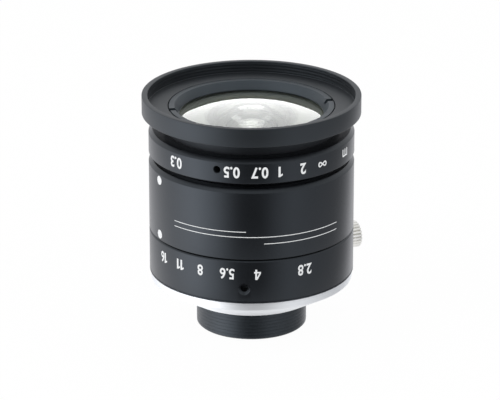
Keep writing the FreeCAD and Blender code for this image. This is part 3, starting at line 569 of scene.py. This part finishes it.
def makeFrontRing(size):
    rim = outerRadius("front_retaining_ring")
    bottom, top = low("front_retaining_ring"), high("front_retaining_ring")
    bm = turned([
        (size["seatBore"], bottom), (rim, bottom), (rim, top), (rim - size["lipWidth"], top),
        (size["boreRadius"], top - size["coneHeight"]), (size["boreRadius"], bottom + size["seatRise"])])
    softenRims(bm, size["edge"])
    slot = bmesh.new()       # one bar right across the ring cuts both spanner slots
    bmesh.ops.create_cube(slot, size=1)
    bmesh.ops.scale(slot, vec=(size["slotWidth"], 3 * rim, 2 * size["slotDepth"]), verts=slot.verts)
    bmesh.ops.rotate(slot, cent=(0, 0, 0), verts=slot.verts,
                     matrix=Matrix.Rotation(math.radians(size["slotAzimuth"]), 3, "Z"))
    bmesh.ops.translate(slot, vec=(0, 0, top), verts=slot.verts)
    cut(bm, [slot])
    addPiece("frontRetainingRing", bm, "barrel", ringBlack, ["front_retaining_ring"])


makeFrontRing(frontRing)


print("glass")
# in millimetres: rim radius, rim bottom and rim top (or None and the rim's height, for a glass that
# stands where its solid stands), then front and back: edge radius, curve and the way it bulges
opticalElements = {
    "front_element": (18.2, 39.40, 43.40, (16.55, 60.0, 1), (10.1, 11.8, 1), "frontElement"),
    "second_element": (12.95, None, 2.4, (11.45, 28.0, 1), (8.2, 13.0, 1), "secondElement"),
    "third_element": (10.95, None, 3.0, (9.05, 22.0, 1), (7.05, 30.0, -1), "thirdElement"),
    "fourth_element": (8.95, None, 2.0, (7.425, 18.0, 1), (6.575, 60.0, -1), "fourthElement"),
    "fifth_element": (8.95, None, 2.8, (5.8, 40.0, -1), (6.95, 30.0, 1), "fifthElement"),
    "sixth_element": (8.95, None, 1.6, (8.2, 20.0, 1), (8.2, 20.0, -1), "sixthElement"),
    "rear_element": (8.95, None, 1.8, (8.2, 24.0, 1), (7.225, 40.0, -1), "rearElement")}
seatGap = 0.01           # a glass stands this clear of the seats that it touches, in millimetres
groundSlope = 0.3        # a face whose normal leans further from the axis belongs to the rim
glassSteps = 192


def capOutline(radius, height, curve, side, count=14):
    # a polished surface from the axis out to its edge, as a circle's arc
    reach = math.asin(radius / curve)
    outline = []
    for step in range(count + 1):
        angle = reach * step / count
        rise = curve * (math.cos(angle) - math.cos(reach))
        outline.append((curve * math.sin(angle), height + side * rise))
    return outline


def makeElement(node, size):
    rim, rimLow, rimHigh, front, back, name = size
    if rimLow is None:
        bulge = back[1] - math.sqrt(back[1] ** 2 - back[0] ** 2) if back[2] < 0 else 0
        rimLow = low(node) / mm + bulge
        rimHigh = rimLow + rimHigh
    rim -= seatGap
    rimLow += seatGap
    rimHigh -= seatGap
    frontArc = capOutline(front[0] * mm, rimHigh * mm, front[1] * mm, front[2])
    backArc = capOutline(back[0] * mm, rimLow * mm, back[1] * mm, back[2])
    edge = [(rim * mm, rimHigh * mm), (rim * mm, rimLow * mm)]
    bm = turned(frontArc + edge + backArc[::-1], glassSteps)
    for face in bm.faces:
        reach = face.calc_center_median().xy.length / mm
        inFront = reach < front[0] and face.normal.z > groundSlope
        behind = reach < back[0] and face.normal.z < -groundSlope
        face.material_index = 0 if inFront or behind else 1      # clear glass or lacquered rim
    piece = addPiece(name, bm, "barrel", clearGlass, [node], sharp=12)
    piece.data.materials.append(rimLacquer)


for node, size in opticalElements.items():
    makeElement(node, size)


print("lock screws")
wallRadius = outerRadius("outer_sleeve")
thumbScrew = {
    "shankRadius": 0.77 * mm, "collarRadius": 1.6 * mm, "collarTop": 0.65 * mm, "collarGap": 0.1 * mm,
    "headRadius": 3.1 * mm, "headHeight": 3.2 * mm, "teeth": 24, "knurlDepth": 0.34 * mm,
    "edge": 0.12 * mm}


def makeThumbScrew(name, node, body, azimuth, height, tip, size):
    top = wallRadius + size["collarTop"]
    head = bmesh.new()
    bmesh.ops.create_circle(head, cap_ends=True, segments=4 * size["teeth"], radius=size["headRadius"])
    for place, vertex in enumerate(head.verts):
        if place % 4 == 3:             # one corner in four is a groove of the knurl
            vertex.co *= 1 - size["knurlDepth"] / size["headRadius"]
    lid = bmesh.ops.extrude_face_region(head, geom=head.faces[:])["geom"]
    bmesh.ops.translate(head, vec=(0, 0, size["headHeight"]), verts=vertsOf(lid))
    bmesh.ops.recalc_face_normals(head, faces=head.faces)
    rims = [edge for edge in head.edges if abs(edge.verts[0].co.z - edge.verts[1].co.z) < 0.01 * mm]
    roundEdges(head, rims, size["edge"])
    bmesh.ops.transform(head, matrix=facingOut(azimuth, height) @ Matrix.Translation((0, 0, top)),
                        verts=head.verts)
    collar, collarEnd = wallRadius + size["collarGap"], top + size["collarGap"]
    addInto(head, spindle([
        (0, tip), (size["shankRadius"], tip), (size["shankRadius"], collar),
        (size["collarRadius"], collar), (size["collarRadius"], collarEnd), (0, collarEnd)],
        azimuth, height))
    addPiece(name, head, body, screwSteel, [node])


makeThumbScrew("irisThumbScrew", "iris_lock_screw", "iris_screw",
               irisRing["holeAzimuth"] + lockHole["spacing"],
               low("iris_ring") + irisRing["holeRise"], irisRing["screwTip"], thumbScrew)
makeThumbScrew("focusThumbScrew", "focus_lock_screw", "focus_screw",
               focusRing["holeAzimuth"] - lockHole["spacing"],
               focusRing["wallBottom"] + focusRing["holeRise"], focusRing["screwTip"], thumbScrew)


print("dial marks")


def wrapOnWall(bm, azimuth, height):
    # lays a flat mark on the round wall, with its head towards the mount
    for vertex in bm.verts:
        angle = azimuth - math.degrees(vertex.co.x / wallRadius)
        vertex.co = polar(wallRadius + vertex.co.z, angle, height - vertex.co.y)
    bmesh.ops.recalc_face_normals(bm, faces=bm.faces)


def raiseFilm(bm, film):
    # gives a flat mark the thickness of its paint
    raised = bmesh.ops.extrude_face_region(bm, geom=bm.faces[:])["geom"]
    bmesh.ops.translate(bm, vec=(0, 0, film), verts=vertsOf(raised))


def fontGlyph(sign, weight):
    # one flat character of the plain built-in lettering, its baseline on the X axis
    curve = bpy.data.curves.new("letters", "FONT")
    curve.body = sign
    curve.offset = weight
    curve.resolution_u = 6
    helper = newObject("letters", curve)
    bpy.context.view_layer.update()
    mesh = bpy.data.meshes.new_from_object(helper.evaluated_get(bpy.context.evaluated_depsgraph_get()))
    bm = bmesh.new()
    bm.from_mesh(mesh)
    bpy.data.objects.remove(helper)
    bpy.data.meshes.remove(mesh)
    return bm


def extent(bm, axis):
    values = [vertex.co[axis] for vertex in bm.verts]
    return min(values), max(values)


# characters drawn by their corners, in units of the digits' height: outline, then any inner hole
drawnGlyphs = {
    "1": ([(0.2, 0), (0.4, 0), (0.4, 1), (0.25, 1), (0, 0.84), (0, 0.67), (0.2, 0.77)],),
    "4": ([(0.34, 0), (0.52, 0), (0.52, 0.22), (0.63, 0.22), (0.63, 0.37), (0.52, 0.37), (0.52, 1),
           (0.32, 1), (0, 0.37), (0, 0.22), (0.34, 0.22)],
          [(0.36, 0.36), (0.36, 0.78), (0.14, 0.36)]),
    "m": ([(0, 0), (0.15, 0), (0.15, 0.60), (0.41, 0.60), (0.41, 0), (0.56, 0), (0.56, 0.60),
           (0.82, 0.60), (0.82, 0), (0.97, 0), (0.97, 0.66), (0.89, 0.74), (0, 0.74)],)}
infinitySign = {"width": 1.02, "height": 0.52, "stroke": 0.13, "steps": 96}


def drawnGlyph(loops):
    bm = bmesh.new()
    for loop in loops:
        corners = [bm.verts.new((*corner, 0)) for corner in loop]
        for start, end in zip(corners, corners[1:] + corners[:1]):
            bm.edges.new((start, end))
    bmesh.ops.triangle_fill(bm, use_beauty=True, edges=bm.edges[:])
    return bm


def infinityGlyph(size):
    # a band of even width along a figure of eight, at half the digits' height
    bm = bmesh.new()
    reachX = (size["width"] - size["stroke"]) / 2
    reachY = size["height"] - size["stroke"]
    rails = []
    for step in range(size["steps"]):
        angle = math.tau * step / size["steps"]
        place = Vector((reachX * math.cos(angle), reachY * math.sin(2 * angle) / 2, 0))
        along = Vector((-reachX * math.sin(angle), reachY * math.cos(2 * angle), 0)).normalized()
        side = Vector((-along.y, along.x, 0)) * size["stroke"] / 2
        middle = place + Vector((reachX, 0.5, 0))
        rails.append((bm.verts.new(middle + side), bm.verts.new(middle - side)))
    for (left, right), (nextLeft, nextRight) in zip(rails, rails[1:] + rails[:1]):
        bm.faces.new((left, right, nextRight, nextLeft))
    return bm


reference = fontGlyph("0", 0)
lowest, highest = extent(reference, 1)
digitHeight = highest - lowest
reference.free()


def makeGlyph(sign, size):
    if sign in drawnGlyphs:
        bm = drawnGlyph(drawnGlyphs[sign])
    elif sign == "∞":
        bm = infinityGlyph(infinitySign)
    else:
        bm = fontGlyph(sign, size["weight"])
        bmesh.ops.scale(bm, vec=(size["width"] / digitHeight, 1 / digitHeight, 1), verts=bm.verts)
    bmesh.ops.scale(bm, vec=(size["height"], size["height"], 1), verts=bm.verts)
    return bm


# each mark is its characters and the azimuth of its middle
focusScale = {"height": 2.45 * mm, "width": 0.86, "weight": 0.027, "gap": 0.15 * mm,
              "film": 0.03 * mm, "centre": 37.63 * mm,
              "marks": [("0.3", -45.9), ("0.5", -10.8), ("0.7", 4.5), ("1", 16.0), ("2", 29.3),
                        ("∞", 42.5), ("m", 63.6)]}
irisScale = {"height": 2.45 * mm, "width": 0.82, "weight": 0.021, "gap": 0.17 * mm,
             "film": 0.03 * mm, "centre": 13.40 * mm,
             "marks": [("16", -57.6), ("11", -43.2), ("8", -29.4), ("5.6", -13.5), ("4", 3.3),
                       ("2.8", 30.8)]}


def makeScale(name, body, size):
    scale = bmesh.new()
    for words, azimuth in size["marks"]:
        mark = bmesh.new()
        cursor = 0
        for sign in words:
            glyph = makeGlyph(sign, size)
            left, right = extent(glyph, 0)
            bmesh.ops.translate(glyph, vec=(cursor - left, 0, 0), verts=glyph.verts)
            cursor += right - left + size["gap"]
            addInto(mark, glyph)
        middle = (cursor - size["gap"]) / 2
        bmesh.ops.translate(mark, vec=(-middle, -size["height"] / 2, 0), verts=mark.verts)
        raiseFilm(mark, size["film"])
        wrapOnWall(mark, azimuth, size["centre"])
        addInto(scale, mark)
    addPiece(name, scale, body, markPaint, sharp=40)


makeScale("focusScale", "focus", focusScale)
makeScale("irisScale", "iris", irisScale)

# each line is its height, the azimuth that it starts at and the one that it ends at
sleeveMarks = {"dotRadius": 1.03 * mm, "dotAzimuth": -62.3, "dotHeights": (31.4 * mm, 18.4 * mm),
               "lines": ((22.35 * mm, -47.4, 54.8), (23.6 * mm, -47.4, -3.0), (20.75 * mm, 7.0, 54.8)),
               "lineWidth": 0.16 * mm, "film": 0.03 * mm}


def makeSleeveMarks(size):
    marks = bmesh.new()
    for height in size["dotHeights"]:
        dot = bmesh.new()
        bmesh.ops.create_circle(dot, cap_ends=True, segments=40, radius=size["dotRadius"])
        raiseFilm(dot, size["film"])
        wrapOnWall(dot, size["dotAzimuth"], height)
        addInto(marks, dot)
    for height, first, last in size["lines"]:
        line = bmesh.new()
        bmesh.ops.create_grid(line, x_segments=80, y_segments=1, size=0.5)
        span = math.radians(last - first) * wallRadius
        bmesh.ops.scale(line, vec=(span, size["lineWidth"], 1), verts=line.verts)
        raiseFilm(line, size["film"])
        wrapOnWall(line, (first + last) / 2, height)
        addInto(marks, line)
    addPiece("sleeveMarks", marks, "housing", markPaint, sharp=40)


makeSleeveMarks(sleeveMarks)


print("studio")
studio = {
    "floorSize": 6.0, "floorDrop": 0.01 * mm, "floorColour": "#F2F2F2", "floorGlow": 0.97,
    "fill": 0.55,
    # what the satin walls see around them: (azimuth in degrees, brightness)
    "surround": [(-180, 1.0), (-150, 1.05), (-127, 1.2), (-100, 1.5), (-66, 3.1), (-42, 2.0),
                 (-27, 0.8), (-15, 0.08), (13, 0.08), (24, 0.55), (44, 1.1), (70, 0.75), (112, 0.5),
                 (132, 0.7), (150, 1.25), (180, 1.0)],
    "surroundPeak": 4.0, "surroundBlue": 1.03,
    # the same by height: (upward part of the direction, share that is plain white instead)
    "paleShare": [(-1.0, 1.0), (-0.72, 1.0), (-0.5, 0.0), (0.12, 0.0), (0.34, 0.75), (1.0, 0.8)],
    "paleLevel": 0.95,
    # name, place, width, height and power in watts
    "lamps": [
        ("keySoftbox", (-0.62, -0.30, 0.42), 0.5, 0.5, 2.4),
        ("fillSoftbox", (0.62, -0.35, 0.38), 0.5, 0.5, 1.2),
        ("topSoftbox", (0.0, 0.15, 0.75), 0.6, 0.6, 2.0)],
    # a tall panel behind the object, which only the glass mirrors
    "glassPanel": ("glassPanel", (0.0, 0.85, 0.58), 1.4, 1.12, 15)}


def makeFloor():
    bm = bmesh.new()
    bmesh.ops.create_grid(bm, x_segments=1, y_segments=1, size=studio["floorSize"] / 2)
    bmesh.ops.translate(bm, vec=(0, 0, low("mount_tube") - studio["floorDrop"]), verts=bm.verts)
    mesh = bpy.data.meshes.new("studioFloor")
    bm.to_mesh(mesh)
    bm.free()
    floor = newObject("studioFloor", mesh)
    material, tree, _ = newMaterial("palePaper")
    sight = addNode(tree, "ShaderNodeLightPath")
    paper = addNode(tree, "ShaderNodeBsdfDiffuse", {"Color": linear(studio["floorColour"])})
    glow = addNode(tree, "ShaderNodeEmission", {"Color": linear("#FFFFFF"), "Strength": 1.0})
    share = addNode(tree, "ShaderNodeMath", {0: sight.outputs["Is Camera Ray"], 1: studio["floorGlow"]},
                    operation="MULTIPLY")
    seen = addNode(tree, "ShaderNodeMath", {
        0: share.outputs[0], 1: sight.outputs["Is Transmission Ray"]}, operation="MAXIMUM")
    mixed = addNode(tree, "ShaderNodeMixShader", {0: seen.outputs[0], 1: paper.outputs[0],
                                                  2: glow.outputs[0]})
    addNode(tree, "ShaderNodeOutputMaterial", {"Surface": mixed.outputs[0]})
    mesh.materials.append(material)
    floor.visible_glossy = False        # the walls see the studio's surround through it


def setStops(ramp, stops):
    # a new ramp has two stops already, and the others are added at its end
    elements = ramp.color_ramp.elements
    for place, (position, colour) in enumerate(stops):
        stop = elements[place] if place < 2 else elements.new(1.0)
        stop.position = position
        stop.color = colour


def makeSurround():
    world = bpy.data.worlds.new("studio")
    bpy.context.scene.world = world
    world.use_nodes = True
    tree = world.node_tree
    tree.nodes.clear()
    way = addNode(tree, "ShaderNodeTexCoord").outputs["Generated"]
    parts = addNode(tree, "ShaderNodeSeparateXYZ", {0: way})
    behind = addNode(tree, "ShaderNodeMath", {0: parts.outputs[1], 1: -1.0}, operation="MULTIPLY")
    azimuth = addNode(tree, "ShaderNodeMath", {0: parts.outputs[0], 1: behind.outputs[0]},
                      operation="ARCTAN2")
    share = addNode(tree, "ShaderNodeMapRange", {"Value": azimuth.outputs[0], "From Min": -math.pi,
                                                 "From Max": math.pi})
    ramp = addNode(tree, "ShaderNodeValToRGB", {"Fac": share.outputs["Result"]})
    stops = []
    for angle, brightness in studio["surround"]:
        value = brightness / studio["surroundPeak"]
        stops.append(((angle + 180) / 360, (value, value, value * studio["surroundBlue"], 1)))
    setStops(ramp, stops)
    rise = addNode(tree, "ShaderNodeMapRange", {"Value": parts.outputs[2], "From Min": -1.0,
                                                "From Max": 1.0})
    pale = addNode(tree, "ShaderNodeValToRGB", {"Fac": rise.outputs["Result"]})
    setStops(pale, [((height + 1) / 2, (part, part, part, 1)) for height, part in studio["paleShare"]])
    level = studio["paleLevel"] / studio["surroundPeak"]
    around = addNode(tree, "ShaderNodeMix", {"Factor": pale.outputs["Color"], "A": ramp.outputs["Color"],
                                             "B": (level, level, level, 1)}, data_type="RGBA")
    glossy = addNode(tree, "ShaderNodeBackground", {"Color": around.outputs["Result"],
                                                    "Strength": studio["surroundPeak"]})
    fill = addNode(tree, "ShaderNodeBackground", {"Color": linear("#FFFFFF"),
                                                  "Strength": studio["fill"]})
    white = addNode(tree, "ShaderNodeBackground", {"Color": linear("#FFFFFF"), "Strength": 1.0})
    sight = addNode(tree, "ShaderNodeLightPath")
    seen = addNode(tree, "ShaderNodeMath", {
        0: sight.outputs["Is Camera Ray"], 1: sight.outputs["Is Transmission Ray"]},
        operation="MAXIMUM")
    lit = addNode(tree, "ShaderNodeMixShader", {0: sight.outputs["Is Glossy Ray"], 1: fill.outputs[0],
                                                2: glossy.outputs[0]})
    whole = addNode(tree, "ShaderNodeMixShader", {0: seen.outputs[0], 1: lit.outputs[0],
                                                  2: white.outputs[0]})
    addNode(tree, "ShaderNodeOutputWorld", {"Surface": whole.outputs[0]})
    world.cycles.sampling_method = "NONE"


def addLamp(name, place, width, height, power):
    # an area lamp that faces the object
    lamp = bpy.data.lights.new(name, "AREA")
    lamp.shape = "RECTANGLE"
    lamp.size = width
    lamp.size_y = height
    lamp.energy = power
    holder = newObject(name, lamp)
    holder.location = place
    holder.rotation_euler = (-Vector(place)).to_track_quat("-Z", "Y").to_euler()
    return holder


def makeLamps():
    for settings in studio["lamps"]:
        softbox = addLamp(*settings)
        softbox.visible_glossy = False
    panel = addLamp(*studio["glassPanel"])
    panel.visible_camera = False
    mirrored = bpy.data.collections.new("polishedGlass")
    for *_, name in opticalElements.values():
        mirrored.objects.link(bpy.data.objects[name])
    panel.light_linking.receiver_collection = mirrored


makeFloor()
makeSurround()
makeLamps()

cameraView = {"focalLength": 242.10, "sensor": 36.0, "distance": 772.89 * mm, "elevation": 20.33,
              "aimHeight": 22.60 * mm, "shift": -0.00295, "nearest": 10 * mm}


def makeCamera(size):
    camera = newObject("camera", bpy.data.cameras.new("camera"))
    camera.data.lens = size["focalLength"]
    camera.data.sensor_width = size["sensor"]
    camera.data.shift_x = size["shift"]
    camera.data.clip_start = size["nearest"]
    tilt = math.radians(size["elevation"])
    camera.location = (0, -size["distance"] * math.cos(tilt),
                       size["aimHeight"] + size["distance"] * math.sin(tilt))
    camera.rotation_euler = (math.pi / 2 - tilt, 0, 0)
    bpy.context.scene.camera = camera


makeCamera(cameraView)
bpy.context.scene.view_settings.view_transform = "Standard"
